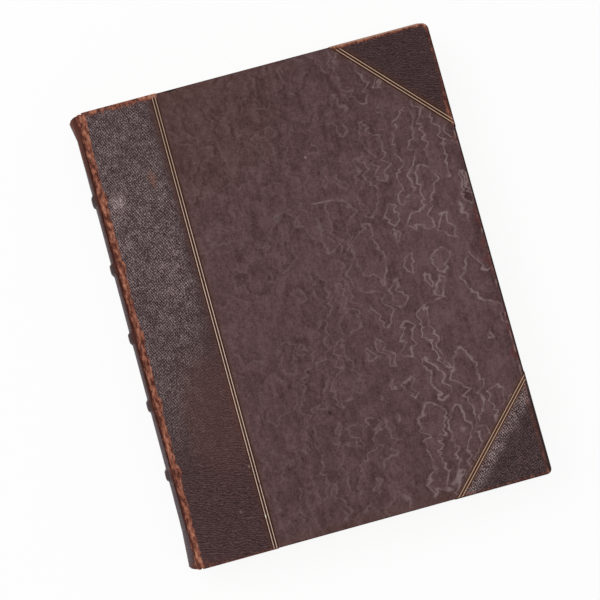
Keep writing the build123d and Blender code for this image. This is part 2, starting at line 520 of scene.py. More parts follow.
def pressLine(sheet, point, normal, top):  # groove for one gilt line
    floorHalf = (gilt["width"] / 2 + gilt["grooveSlack"]) * mm
    lipHalf = floorHalf + gilt["grooveWall"] * mm
    for away in (-lipHalf, -floorHalf, floorHalf, lipHalf):
        cutAcross(point + normal * away, normal)

    def onFloor(vert):
        away = (Vector((vert.co.x, vert.co.y)) - point).dot(normal)
        return abs(away) < floorHalf + 0.02 * mm and vert.co.z > top - 0.01 * mm

    pick(sheet, "verts", onFloor)
    slide(0, 0, -gilt["grooveDepth"] * mm)


def thicken(sheet, thickness, low):
    useModifier(sheet, "SOLIDIFY", {"thickness": thickness * mm, "offset": -1, "use_even_offset": True})
    spare = (thickness - covering["turnInThickness"]) * mm
    if spare > 0:  # the turned-in part is pared thinner
        openPiece(sheet)
        bottom = low.z + thickness * mm
        pick(sheet, "verts", lambda v: abs(v.co.z - bottom) < 0.05 * mm)
        slide(0, 0, -spare)
    clearPick()


def flatNormals(piece):  # flat faces stay flat beside the rounded edges
    smoothPiece(piece, 40)
    useModifier(piece, "WEIGHTED_NORMAL", {"keep_sharp": True, "weight": 80})


def makeLeatherSide():
    sheet = foldedSheet("frontLeatherSide", sideLow, boardHigh)
    across = Vector((1, 0))
    edge = Vector((sideHigh.x, 0))
    cutAcross(edge, across, "ahead")
    cutAcross(Vector((jointX + covering["jointTrim"] * mm, 0)), across, "behind")
    for away in giltOffsets:
        pressLine(sheet, edge - across * away * mm, across, sideHigh.z)
    thicken(sheet, covering["leatherThickness"], sideLow)
    return sheet


def wearTip(sheet):  # the corner's tip is worn down towards the fore-edge
    openPiece(sheet)
    cutAcross((headHigh.x - covering["tipStart"] * mm, 0), (1, 0))
    inside = (headY - covering["tipDepth"]) * mm
    for reach, drop in covering["tipSteps"]:
        startX = headHigh.x - reach * mm
        pick(sheet, "verts", lambda v: v.co.x > startX and v.co.y > inside)
        slide(0, -drop * mm, 0)
    clearPick()


def makeCorner(name, onEdge, inward, worn):
    sheet = foldedSheet(name, sideLow, boardHigh)
    cutAcross(onEdge, inward, "behind")
    for away in giltOffsets:
        pressLine(sheet, onEdge + inward * away * mm, inward, headHigh.z)
    thicken(sheet, covering["leatherThickness"], headLow)
    if worn:
        wearTip(sheet)
    return sheet


def makeClothSide():
    sheet = foldedSheet("frontClothSide", Vector((sideLow.x, clothLow.y, clothLow.z)), clothHigh)
    cutAcross(Vector((clothLow.x, 0)), Vector((1, 0)), "behind")
    cutAcross(headEdge, headInward, "ahead")
    cutAcross(tailEdge, tailInward, "ahead")
    thicken(sheet, covering["clothThickness"], clothLow)
    return sheet


frontPieces = {
    "leather_side": makeLeatherSide(),
    "head_corner": makeCorner("frontHeadCorner", headEdge, headInward, True),
    "tail_corner": makeCorner("frontTailCorner", tailEdge, tailInward, False),
    "cloth_side": makeClothSide(),
}
coverPieces = {}
for node, piece in frontPieces.items():
    coverPieces[node] = (piece, mirrorBelow(piece, piece.name.replace("front", "back")))
for pair in coverPieces.values():
    for piece in pair:
        flatNormals(piece)
print("coverings of both boards made")

# spine
spine = {
    "bulge": 7.85,
    "ridgeRadius": 3.0,
    "ridgeRun": 2.4,
    "rowCuts": (99, 2),
    "arcSteps": 16,
    "ridgeSteps": 7,
    "thickness": 0.8,
    "bandShares": (0.1859, 0.3374, 0.4894, 0.6389, 0.7910),
    "creaseShares": (0.189, 0.340, 0.492, 0.641, 0.7915),
    "bandWidth": 7.2,
    "bandHeight": 1.4,
    "bandStages": (0.50, 0.68, 0.82, 0.94),
    "bandCrown": 0.9,
    "bandBlend": 1.6,
    "waist": ((120, 0.1), (104, 0.1), (88, 0.1)),  # half length, sink
    "waistShare": 0.85,
    "waistBlend": 130,
    "headFlare": (2.1, 13.0),  # outwards, over this length
    "tailFlare": (1.5, 24.0),
    "flareStages": 8,
    "flareShares": (0.98, 0.3),
    "flareBlend": 2,
    "capShoulder": 0.8,
    "capMiddle": 0.5,
    "capBlend": 10,
    "capLift": 0.2,
    "capReach": (9.0, 6.0, 3.5),
    "capDip": 0.3,
    # inwards and along, from step to step
    "lip": ((0.35, 0.28), (0.6, 0.2), (0.75, -0.15), (0.75, -0.7), (0.5, -1.3), (0.2, -2.0)),
    "lipFrom": 2.5,
    "lipShare": 0.97,
    "lipTaper": 0.97,
}
ridgeHalf = (spineHigh.z - spineLow.z) / 2 / mm
sagitta = spine["bulge"] - spine["ridgeRun"]
arcRadius = (ridgeHalf ** 2 + sagitta ** 2) / (2 * sagitta)
arcX = jointX / mm - spine["bulge"] + arcRadius
ridgeUp = ridgeHalf - spine["ridgeRadius"]
ridgeX = arcX - math.sqrt((arcRadius - spine["ridgeRadius"]) ** 2 - ridgeUp ** 2)
arcAngle = math.asin(ridgeUp / (arcRadius - spine["ridgeRadius"]))
coverHeight = (sideHigh.y - sideLow.y) / mm
bandYs = [headY - share * coverHeight for share in spine["bandShares"]]
creaseYs = [headY - share * coverHeight for share in spine["creaseShares"]]


def spinLine(piece, test, centre, angle, steps):
    pick(piece, "verts", test)
    bpy.ops.mesh.spin(steps=steps, angle=angle, center=centre, axis=(0, 1, 0))


def backAngle(point):  # angle round the spine's arc, 0 at the middle of the back
    return math.atan2(point.z - midZ, arcX * mm - point.x)


def sideways(vert):
    return abs(backAngle(vert.co))


def makeSpine():
    skin = pointRow("spineLeather", (arcX - arcRadius) * mm, midZ, spineHigh.y - spineLow.y, spine["rowCuts"])
    axis = (arcX * mm, 0, midZ)
    for turn in (1, -1):  # both halves of the back
        onLine = lambda v: abs(v.co.z - midZ) < hair
        spinLine(skin, onLine, axis, turn * arcAngle, spine["arcSteps"])
    joinClose(0.01 * mm)
    reach = max(abs(v.co.z - midZ) for v in bmesh.from_edit_mesh(skin.data).verts)
    for turn in (1, -1):  # rounded ridges beside the joints
        atEnd = lambda v: (v.co.z - midZ) * turn > reach - hair
        ridgeAxis = (ridgeX * mm, 0, midZ + turn * ridgeUp * mm)
        spinLine(skin, atEnd, ridgeAxis, turn * (math.pi / 2 - arcAngle), spine["ridgeSteps"])
        pick(skin, "verts", lambda v: (v.co.z - midZ) * turn > ridgeHalf * mm - hair)
        drawOut(spineHigh.x - ridgeX * mm, 0, 0)
    joinClose(0.01 * mm)
    faceTowards(skin, Vector((-1, 0, 0)))
    return skin


def raiseBands(skin):
    half = spine["bandWidth"] / 2
    rise = spine["bandHeight"] / len(spine["bandStages"]) / 2
    for bandY in bandYs:
        for stage in spine["bandStages"]:
            limit = arcAngle * stage
            for width in (half, half * spine["bandCrown"]):
                pick(skin, "verts", lambda v: abs(v.co.y / mm - bandY) < width and sideways(v) < limit)
                swell(rise * mm)
    blend = half + spine["bandBlend"]
    pick(skin, "verts", lambda v: min(abs(v.co.y / mm - bandY) for bandY in bandYs) < blend)
    relax(1)


def drawWaist(skin):  # the back is a little flatter between the ends
    limit = arcAngle * spine["waistShare"]
    for reach, sink in spine["waist"]:
        pick(skin, "verts", lambda v: abs(v.co.y / mm) < reach and sideways(v) < limit)
        swell(-sink * mm)
    pick(skin, "verts", lambda v: abs(v.co.y / mm) < spine["waistBlend"] and v.co.x < ridgeX * mm)
    relax(4)


def flareCaps(skin):
    tip = spineHigh.y / mm
    count = spine["flareStages"]
    outer, span = spine["flareShares"]
    for end, (flare, length) in ((1, spine["headFlare"]), (-1, spine["tailFlare"])):
        for i in range(count):
            start = tip - length * (1 - i / count)
            limit = arcAngle * (outer - span * (i % 3) / 3)
            pick(skin, "verts", lambda v: v.co.y * end / mm > start and sideways(v) < limit)
            swell(flare / count * mm)
        start = tip - length - spine["flareBlend"]
        pick(skin, "verts", lambda v: v.co.y * end / mm > start and v.co.x < ridgeX * mm)
        relax(3)


def shapeCaps(skin):  # the ends stand high beside the joints and dip towards the middle of the back
    tip = spineHigh.y / mm
    shoulder = arcAngle * spine["capShoulder"]
    centre = arcAngle * spine["capMiddle"]
    for end in (1, -1):
        for reach in spine["capReach"]:
            pick(skin, "verts", lambda v: v.co.y * end / mm > tip - reach and sideways(v) > shoulder)
            slide(0, end * spine["capLift"] * mm, 0)
            pick(skin, "verts", lambda v: v.co.y * end / mm > tip - reach and sideways(v) < centre)
            slide(0, -end * spine["capDip"] * mm, 0)
        pick(skin, "verts", lambda v: v.co.y * end / mm > tip - spine["capBlend"])
        relax(2, xaxis=False, zaxis=False)


def turnCaps(skin):  # the leather rolls over the endbands into the spine
    tip = spineHigh.y - spine["lipFrom"] * mm
    for end in (1, -1):
        def onRim(edge):
            bare = len(edge.link_faces) == 1 and middle(edge).y * end > tip
            return bare and abs(backAngle(middle(edge))) < arcAngle * spine["lipShare"]

        pick(skin, "edges", onRim)
        for inward, along in spine["lip"]:
            drawOut(inward * mm, end * along * mm, 0)
            rescale((1, 1, spine["lipTaper"]), (0, 0, midZ))


spineSkin = makeSpine()
drawWaist(spineSkin)
raiseBands(spineSkin)
flareCaps(spineSkin)
shapeCaps(spineSkin)
turnCaps(spineSkin)
useModifier(spineSkin, "SOLIDIFY", {"thickness": spine["thickness"] * mm, "offset": -1})
smoothPiece(spineSkin, 50)
print("spine made:", len(spineSkin.data.polygons), "faces")

# leather across the joints
jointStrip = {
    "rowCuts": (99, 2),
    "section": (  # out from the hinge, up from its level
        (-3.32, -1.74), (-3.02, -1.30), (-2.62, -0.93), (-2.10, -0.60), (-1.50, -0.38), (-0.90, -0.27),
        (-0.45, -0.33), (-0.12, -0.52), (0.15, -0.58), (0.45, -0.46), (0.85, -0.22), (1.35, -0.07),
        (2.0, -0.02), (2.58, -0.012), (2.72, -0.25), (3.4, -0.45),
    ),
    "thickness": 0.25,
    "endGap": 0.9,
    "blendStart": -0.08,
    "blendEnd": 0.08,
    "foldFrom": 3.5,
    "foldEnd": 4.3,
    "boardFrom": -0.3,
    "tuckFrom": 2.65,
    "tuck": 0.4,
    "endDrop": ((0.55, -0.25), (0.35, -0.75), (0.0, -3.2)),  # outwards, up
}


def makeJointStrip():
    length = 2 * (spineHigh.y - jointStrip["endGap"] * mm)
    before = jointStrip["section"][0]
    startX = jointX + before[0] * mm
    strip = pointRow("frontJointLeather", startX, topZ + before[1] * mm, length, jointStrip["rowCuts"])
    for point in jointStrip["section"][1:]:
        drawOut((point[0] - before[0]) * mm, 0, (point[1] - before[1]) * mm)
        before = point
    for end in (1, -1):  # ends folded down over the head and tail
        tip = end * length / 2
        for out, down in jointStrip["endDrop"]:
            edge = lambda e: len(e.link_faces) == 1 and (middle(e).y - tip) * end > -hair
            level = lambda e: abs(e.verts[0].co.y - e.verts[1].co.y) < hair
            pick(strip, "edges", lambda e: edge(e) and level(e))
            drawOut(0, end * out * mm, down * mm)
            tip += end * out * mm
    onBoard = jointX + jointStrip["boardFrom"] * mm
    tuckX = jointX + jointStrip["tuckFrom"] * mm
    for end in (1, -1):  # the board side runs out as far as the board does
        pick(strip, "verts", lambda v: v.co.y * end > length / 2 - 0.1 * mm and v.co.x > onBoard)
        slide(0, end * (sideHigh.y - spineHigh.y), 0)
        pick(strip, "verts", lambda v: v.co.y * end > length / 2 + 0.5 * mm and v.co.x > tuckX)
        slide(0, -end * jointStrip["tuck"] * mm, 0)
    foldEnd = topZ - jointStrip["foldEnd"] * mm
    pick(strip, "verts", lambda v: v.co.z < topZ - jointStrip["foldFrom"] * mm)
    rescale((1, 1, 0), (0, 0, foldEnd))
    faceTowards(strip, Vector((0, 0, 1)))
    useModifier(strip, "SOLIDIFY", {"thickness": jointStrip["thickness"] * mm, "offset": -1})
    return strip


frontJoint = makeJointStrip()
backJoint = mirrorBelow(frontJoint, "backJointLeather")
smoothPiece(frontJoint, 60)
smoothPiece(backJoint, 60)
print("joint leather made")

# endpaper across the inside of the joints
paperHinge = {
    "flat": 3.2,
    "level": 33.1,
    "stand": 0.05,
    "rows": ((0.05, 36.9), (0.165, 37.08)),  # out from the hinge, height
    "halfLength": 148.3,
    "thickness": 0.06,
}


def makePaperHinge():
    clearPick()
    startX = jointX + paperHinge["stand"] * mm
    flat = paperHinge["flat"] * mm
    size = (flat, 2 * paperHinge["halfLength"] * mm, 1)
    centre = (startX + flat / 2, 0, paperHinge["level"] * mm)
    bpy.ops.mesh.primitive_plane_add(size=1, location=centre)
    sheet = newPiece("frontPaperHinge")
    openPiece(sheet)
    pickAll()
    rescale(size, centre)
    pick(sheet, "edges", lambda e: middle(e).x < startX + 0.01 * mm)
    before = (paperHinge["stand"], paperHinge["level"])
    for row in paperHinge["rows"]:
        drawOut((row[0] - before[0]) * mm, 0, (row[1] - before[1]) * mm)
        before = row
    pickAll()
    bpy.ops.mesh.normals_make_consistent(inside=False)
    useModifier(sheet, "SOLIDIFY", {"thickness": paperHinge["thickness"] * mm, "offset": 0})
    return sheet


frontPaper = makePaperHinge()
backPaper = mirrorBelow(frontPaper, "backPaperHinge")
print("paper hinges made")

# leaves
leaves = {
    "count": 108,
    "top": 32.95,
    "setback": 4.0,
    "leatherOver": 0.3,
    "hollow": 5.0,
    "rounding": 4.2,
    "flatFrom": -100.0,
    "backX": -117.3,
    "fanCuts": (-111.2, -111.9, -112.7, -113.5),
    "fanShares": ((-111.5, 0.15), (-112.3, 0.35), (-113.1, 0.5)),  # from this x, share of the fan
    "fanHalf": 16.9,
    "stray": 0.11,
    "seed": 7,
}


def makeLeaves():
    chance = random.Random(leaves["seed"])
    clearPick()
    foreEdge = clothHigh.x / mm + leaves["leatherOver"]
    reach = (foreEdge - leaves["setback"], headY - leaves["setback"], leaves["top"])
    high = Vector([value * mm for value in reach])
    low = Vector((leaves["backX"] * mm, -high.y, topZ - high.z))
    bpy.ops.mesh.primitive_cube_add(size=1, location=(low + high) / 2, scale=high - low)
    block = newPiece("leaves")
    openPiece(block)
    for cut in leaves["fanCuts"]:
        cutAcross((cut * mm, 0), (1, 0))
    rise = (high.z - low.z) / leaves["count"]
    for i in range(1, leaves["count"]):
        cutAcross((0, 0, low.z + rise * i), (0, 0, 1))
    half = (high.z - low.z) / 2
    for limit, share in leaves["fanShares"]:  # leaves fan out towards the spine
        grow = 1 + (leaves["fanHalf"] * mm / half - 1) * share
        pick(block, "verts", lambda v: v.co.x / mm < limit)
        rescale((1, 1, grow), (0, 0, midZ))
    shape = bmesh.from_edit_mesh(block.data)
    rows = {}
    for vert in shape.verts:
        if vert.co.x > leaves["flatFrom"] * mm:
            rows.setdefault(round((vert.co.z - midZ) / half * 1000), []).append(vert)
    for key in sorted(rows):
        share = key / 1000
        shift = -leaves["hollow"] * (1 - share * share) * mm
        stray = [chance.uniform(-1, 1) * leaves["stray"] * mm for _ in range(3)]
        for vert in rows[key]:
            if vert.co.x > high.x - 10 * hair:
                vert.co.x += shift + stray[0]
            if abs(vert.co.y) > high.y - 10 * hair:
                vert.co.y += stray[1] if vert.co.y > 0 else stray[2]
    for vert in shape.verts:  # rounded back
        if vert.co.x < low.x + 10 * hair:
            share = (vert.co.z - midZ) / (leaves["fanHalf"] * mm)
            vert.co.x += leaves["rounding"] * mm * share * share
    bmesh.update_edit_mesh(block.data)
    smoothPiece(block, 20)
    return block


pageBlock = makeLeaves()
print("leaves made:", len(pageBlock.data.polygons), "faces")

# endbands
endband = {"radius": 0.82, "sides": 10, "steps": 40, "rib": 0.09, "sink": 2.75, "gap": 0.12, "turn": 0.96}


def makeEndband(name, end):
    clearPick()
    tubeX = arcX - arcRadius + endband["sink"]
    tubeY = (headY - leaves["setback"] + endband["radius"] + endband["gap"]) * end
    bpy.ops.mesh.primitive_circle_add(
        vertices=endband["sides"], radius=endband["radius"] * mm, location=(tubeX * mm, tubeY * mm, midZ)
    )
    band = newPiece(name)
    openPiece(band)
    for turn in (1, -1):
        onMiddle = lambda v: abs(v.co.z - midZ) < hair
        spinLine(band, onMiddle, (arcX * mm, 0, midZ), turn * arcAngle * endband["turn"], endband["steps"])
    joinClose(0.005 * mm)
    ring = arcAngle * endband["turn"] / endband["steps"]
    pick(band, "verts", lambda v: round(backAngle(v.co) / ring) % 2 == 0)
    swell(-endband["rib"] * mm)
    for turn in (1, -1):  # each end closed
        pick(band, "edges", lambda e: len(e.link_faces) == 1 and (middle(e).z - midZ) * turn > 0)
        bpy.ops.mesh.edge_face_add()
    pickAll()
    bpy.ops.mesh.normals_make_consistent(inside=False)
    smoothPiece(band, 60)
    return band


headBand = makeEndband("headEndband", 1)
tailBand = makeEndband("tailEndband", -1)
print("endbands made")

# leather finish
hide = {
    "low": tint(54, 36, 36),
    # grey of the painted sheen on the grain tops
    "high": tint(170, 150, 150),
    "fresh": tint(47, 28, 29),
    "freshLight": tint(112, 82, 83),
    "rubDark": tint(82, 42, 33),
    "rub": tint(142, 86, 68),
    "rubBright": tint(184, 126, 102),
    "tan": tint(166, 130, 112),
    # painted shade on turned edges; also the colour of the leather turned over the board's ends
    "edgeDark": tint(40, 24, 22),
    "groove": tint(38, 15, 2),
    "halo": tint(90, 52, 34),
    "latticePitch": (1.34, 1.62),
    "linePitch": 1.5,
    "rough": 0.55,
    "depth": 0.14,
    "specular": 0.12,
}


def pebbles(place, x, y, z):  # tops of the grain in slanting rows, which the sheen masks lighten as a painted highlight
    sway = (cloud(place, (1.7, 1.7, 1.7)) - 0.5) * 2.3
    drift = (cloud(place, (1.5, 1.5, 1.5), shift=(7, 3, 1)) - 0.5) * 2.6
    first = x * 0.91 + y * 0.418 + z * 0.5 + sway
    second = x * 0.418 - y * 0.91 + z * 0.6 + drift
    rowsOne = wave(first, hide["latticePitch"][0])
    rowsTwo = wave(second, hide["latticePitch"][1])
    fine = cloud(place, (0.46, 0.46, 0.46), 1.0)
    patchy = cloud(place, (4.5, 4.5, 4.5), shift=(2, 8, 5)) - 0.5
    top = 0.5 + rowsOne * 0.26 + rowsTwo * 0.16
    return top, step(top * 0.5 + fine * 0.92 + patchy * 0.34, 0.62, 1.06)


def creaseLines(place, x, y):  # fine wavy lines of the calm grain
    sway = (cloud(place, (7, 5, 6), 3.0, 0.6) - 0.5) * 7.0
    level = x * 0.26 + y * 0.966 + sway
    rows = wave(level, hide["linePitch"])
    broken = cloud(place, (2.4, 1.2, 2.0))
    return step(rows * 0.3 + broken, 0.38, 0.86)


def leatherBase(place, x, y, z, sheen, part):
    top, speck = pebbles(place, x, y, z)
    lines = creaseLines(place, x, y)
    # painted sheen: grain tops lightened towards a grey highlight, partly real rubbing
    colour = shade(speck * sheen, hide["low"], hide["high"])
    lineShare, speckShare = part.get("mix", (0.52, 0.3))
    calm = lines * lineShare + speck * speckShare
    plain, light = (part.get(key, hide[key]) for key in ("fresh", "freshLight"))
    calmColour = shade(calm, plain, light)
    colour = shade(step(sheen, 0.6, 0.12) * 0.9, colour, calmColour)
    return colour, top, speck, lines


def rubColours(place, glow):
    patch = cloud(place, (1.9, 4.4, 1.9), 4.0, 0.6) - 0.5
    crackle = cloud(place, (0.8, 1.4, 0.8)) - 0.5
    level = 0.55 + patch * 1.7 + crackle * 0.45 + glow * 0.5
    colour = shade(step(level, 0.55, 0.76), hide["rubDark"], hide["rub"])
    colour = shade(step(level, 0.76, 1.06), colour, hide["rubBright"])
    return shade(step(glow, 0.8, 1.0), colour, hide["tan"])


def makeHide(name, part):
    finish, shader, place = startFinish(name)
    x, y, z = axes(place)
    broad = cloud(place, (24, 24, 24))
    ragged = cloud(place, (2.0, 3.2, 2.0), 3.0, 0.62)
    wander = cloud(place, (5, 9, 5))
    along = part["sheen"](x, y, broad)
    colour, top, speck, lines = leatherBase(place, x, y, z, along, part)
    rub, glow = part["rub"](x, y, ragged, wander)
    worn = rubColours(place, glow)
    if "gold" in part:  # darker leather and a halo beside the gilt
        away = part["gold"](x, y)
        halo = step(away, 4.4, 0.6) * step(ragged, 0.3, 0.65)
        colour = shade(halo * 0.55, colour, hide["halo"])
        colour = shade(step(away, 1.35, 0.8) * 0.9, colour, part.get("groove", hide["groove"]))
    colour = addMarks(colour, x, y, ragged, part.get("marks", ()), speck)
    colour = shade(rub, colour, worn)
    # painted shade from the part's dark mask: turned edges, the spine's ridge and the bands
    colour = shade(part["dark"](x, y, z, ragged), colour, hide["edgeDark"])
    rough = hide["rough"] + rub * 0.2 - speck * 0.08
    height = top * (1 - rub * 0.7) * (0.35 + 0.65 * along) + lines * 0.4 + ragged * rub * 0.8
    endFinish(shader, colour, rough, height, hide["depth"], part.get("specular", hide["specular"]))
    return finish


def sheenAlong(y):  # head to tail, how much painted sheen shows on the grain tops
    return 0.16 + 0.5 * step(y, -120, -20) + 0.24 * step(y, -30, 30) - 0.16 * step(y, 60, 130)


def sideSheen(x, y, broad):
    low = step(y, 20, -60)  # calm beside the gilt, more widely lower down
    edge = step(giltX - x, 3 + low * 3, 14 + low * 32)
    return sheenAlong(y) * (0.4 + 0.6 * edge) * (0.65 + 0.7 * broad)


def sideRub(x, y, ragged, wander):  # along the joint, the head and the tail
    joint = x - hingeX
    over = joint
    for creaseY in creaseYs:
        over = over - 1.3 * step(abs(y - creaseY), 6.0, 1.0)
    foot = step(y, headY - 40, headY - 4)
    stripRub = step(over + (ragged - 0.5) * 2.4 + (wander - 0.5) * 1.6 - foot * 1.2, 1.5, 0.4)
    head = headY - y
    nearGold = step(abs(x - giltX), 16, 1)
    headRub = step(head + (ragged - 0.5) * 4.0 + (wander - 0.5) * 3.6 - nearGold * 0.8, 4.4, 1.6)
    tailRub = step(y + headY + (ragged - 0.5) * 2.6, 1.9, 0.3) * 0.8
    tailRub = larger(tailRub, step(y + headY + joint * 0.3 + (ragged - 0.5) * 6, 9, 1) * 0.5)
    glow = (0.32 + 0.22 * step(y, -90, -140) + 0.12 * step(y, 100, 140)) * step(joint, -3.6, -1.4)
    glow = larger(glow * stripRub, headRub * (0.34 + 0.5 * nearGold * step(head, 2.6, 0.8)))
    return larger(stripRub, headRub, tailRub), glow


def sideDark(x, y, z, ragged):  # turned edges in shadow
    ends = headY - abs(y)
    rim = step(ends, 0.5, 0.1) * step(abs(z - halfZ), 18.6, 18.0)
    return rim * 0.8


def sideGold(x, y):
    return lesser(*[abs(x - (giltX - away)) for away in giltOffsets])


def slantAway(x, y, onEdge, inward):
    return (x - onEdge.x / mm) * inward.x + (y - onEdge.y / mm) * inward.y


def slantGold(onEdge, inward):
    def away(x, y):
        depth = slantAway(x, y, onEdge, inward)
        return lesser(*[abs(depth - offset) for offset in giltOffsets])
    return away


def nearestGold(x, y):  # distance to the middle of the nearest gilt line
    slants = [slantGold(headEdge, headInward), slantGold(tailEdge, tailInward)]
    return lesser(sideGold(x, y), *[slant(x, y) for slant in slants])


def headSheen(x, y, broad):
    return 0.08 + 0.2 * broad


def tailSheen(x, y, broad):
    depth = slantAway(x, y, tailEdge, tailInward)
    return step(depth, 16, 2) * (1.3 + 1.2 * broad) + 0.16 + 0.12 * step(depth, 26, 40) * broad


def headCornerRub(x, y, ragged, wander):  # along both edges and round the tip
    fore = foreX - x
    edge = headY - y - larger(5.2 - fore, 0) * 0.26
    edgeRub = step(edge + (ragged - 0.5) * 2.4 + (wander - 0.5) * 1.6, 3.0, 1.8)
    low = step(y, 122, 84)
    foreRub = step(fore + (ragged - 0.5) * 4.0 + (wander - 0.5) * 4.0 - low * 1.6, 3.4, 0.6) * 0.75
    tip = step(fore + edge + (ragged - 0.5) * 5, 8.0, 3.5)
    glow = larger(step(edge + (ragged - 0.5) * 0.8, 1.7, 0.9), tip * (0.45 + 0.6 * step(ragged, 0.42, 0.6)))
    glow = larger(glow, 0.26 * edgeRub)
    glow = larger(glow, foreRub * (0.02 + 0.6 * step(y, 100, 84)))
    return larger(edgeRub, foreRub, tip * 0.9), glow


def tailCornerRub(x, y, ragged, wander):  # along both edges, but less
    fore = foreX - x
    edge = y + headY
    edgeRub = step(edge + (ragged - 0.5) * 2.2 + (wander - 0.5) * 2.0, 2.4, 1.0) * 0.6
    foreRub = step(abs(fore - 3.0) + (ragged - 0.5) * 4.0 + (wander - 0.5) * 4.0, 2.2, 0.2) * 0.4
    tip = step(fore + edge + (ragged - 0.5) * 5, 6.0, 2.5)
    glow = larger(step(edge, 1.0, 0.3) * 0.35, tip * 0.5)
    glow = larger(glow, foreRub * 0.5 * step(y, -98, -86))
    return larger(edgeRub, foreRub, tip * 0.85), glow


def cornerDark(x, y, z, ragged):  # turned edges in shadow
    ends = step(headY - abs(y), 0.45, 0.1) * step(abs(z - halfZ), 18.6, 18.0)
    ends = larger(ends, step(y + headY, 1.0, 0.5))
    line = 1.1 + 0.9 * step(y, -84, -92)
    return larger(ends, step(foreX - x, line, line - 0.5)) * 0.8


def spineSheen(x, y, broad):
    return 0.1 + 0.16 * broad


def bandNear(y, wide, narrow):
    return larger(*[step(abs(y - bandY), wide, narrow) for bandY in bandYs])


def spineRub(x, y, ragged, wander):  # the ridge, the caps and the crests of the bands
    ridge = hingeX - x
    bands = bandNear(y, 5.0, 3.0)
    reach = ridge + (ragged - 0.5) * 1.6 + (wander - 0.5) * 1.6 - bands * 0.8 - step(y, 90, 142) * 2.4
    inner = step(y, -80, -36)
    strip = step(reach - inner * 1.1, 4.7, 3.7) * 0.95
    fromEnd = headY - 1.3 - abs(y) + step(y, 20, -20) * 3
    caps = step(fromEnd + (ragged - 0.5) * 6 + step(ridge, 4, 9) * 3, 11.0, 4.0) * 0.85
    crests = bandNear(y, 2.7, 1.3) * step(ridge, 7.2, 8.4) * step(ragged, 0.34, 0.6) * 0.65
    glow = larger(step(ridge, 4.2, 2.4) * 0.2, caps * (0.12 + 0.35 * step(ridge, 7.0, 2.5)))
    glow = glow - inner * step(ridge, 3.7, 4.5) * step(ridge, 7.2, 6.2) * 0.7
    return larger(strip, caps, crests), glow


def spineShade(x, y, z, ragged):  # painted shade: a dark line where the ridge falls away, on the sides of the bands and in the hollows round them
    ridge = hingeX - x
    line = step(abs(ridge - 4.8 + (ragged - 0.5) * 1.2), 1.2, 0.4) * step(y, headY - 12, headY - 40)
    line = line * step(y, -80, -36)
    bands = bandNear(y, 4.2, 2.4) * step(ridge, 4.0, 6.5) * step(ridge, 8.8, 7.6)
    # painted shade in the hollows either side of each band
    nipShade = bandNear(y, 5.4, 3.9) * (1 - bandNear(y, 4.1, 2.9)) * step(ridge, 6.4, 7.8)
    return larger(line * 0.35, bands * 0.6, nipShade * 0.75)


frontMarks = (
    {"at": (-80.0, -58.0), "half": (26.0, 52.0), "ragged": (0.0, 0.4), "grain": 0.6,
     "amount": 0.22, "tint": (124, 80, 70)},
    {"at": (-78.0, 98.8), "half": (3.0, 8.0), "turn": 0.1, "ragged": (0.32, 0.62), "grain": 0.3,
     "amount": 0.85, "tint": (118, 76, 56)},
    {"at": (-103.2, 90.6), "half": (6.5, 7.5), "ragged": (0.2, 0.6), "grain": 0.85,
     "amount": 1.0, "tint": (196, 174, 172)},
    {"at": (-66.2, -96.9), "half": (0.9, 1.0), "ragged": (0.1, 0.3), "grain": 0.0,
     "amount": 0.8, "tint": (140, 116, 102)},
    {"at": (-78.9, -123.5), "half": (1.3, 1.3), "ragged": (0.1, 0.5), "grain": 0.4,
     "amount": 0.7, "tint": (130, 110, 108)},
)
sideFront = {"sheen": sideSheen, "rub": sideRub, "gold": sideGold, "marks": frontMarks, "dark": sideDark}
sideBack = dict(sideFront, marks=())
cornerHead = {
    "sheen": headSheen, "rub": headCornerRub, "gold": slantGold(headEdge, headInward), "dark": cornerDark,
    "fresh": tint(42, 24, 24), "freshLight": tint(100, 74, 76),
}
cornerTail = {
    "sheen": tailSheen, "rub": tailCornerRub, "gold": slantGold(tailEdge, tailInward), "dark": cornerDark,
    "mix": (0.2, 0.78), "fresh": tint(32, 19, 20), "freshLight": tint(118, 93, 94),
    "groove": tint(66, 36, 18),
}
spinePart = {
    "sheen": spineSheen, "rub": spineRub, "dark": spineShade, "specular": 0.08,
    "fresh": tint(60, 43, 46), "freshLight": tint(124, 104, 109),
}
hideFinishes = {
    "frontSide": makeHide("sideLeatherFront", sideFront),
    "backSide": makeHide("sideLeatherBack", sideBack),
    "head": makeHide("headCornerLeather", cornerHead),
    "tail": makeHide("tailCornerLeather", cornerTail),
    "spine": makeHide("spineLeather", spinePart),
}
print("leather finishes made")

# cloth finish
watered = {
    "dark": tint(66, 44, 44),
    "light": tint(107, 82, 84),
    "line": tint(140, 120, 120),
    "brown": tint(88, 60, 46),
    "rub": tint(98, 52, 50),
    "fray": tint(160, 136, 126),
    # painted shade colour for the cloth's edges
    "edgeDark": tint(36, 23, 24),
    "lineWidth": 0.6,
    "sizeX": 18.0,
    "sizeY": 40.0,
    "levels": 6.0,
    "jag": 1.7,
    "zigzags": ((9.5, 4.2), (4.6, 2.2)),  # length, swing
    "shift": (7.7, 4.1),
    "rough": 0.8,
    "depth": 0.07,
    "specular": 0.12,
}


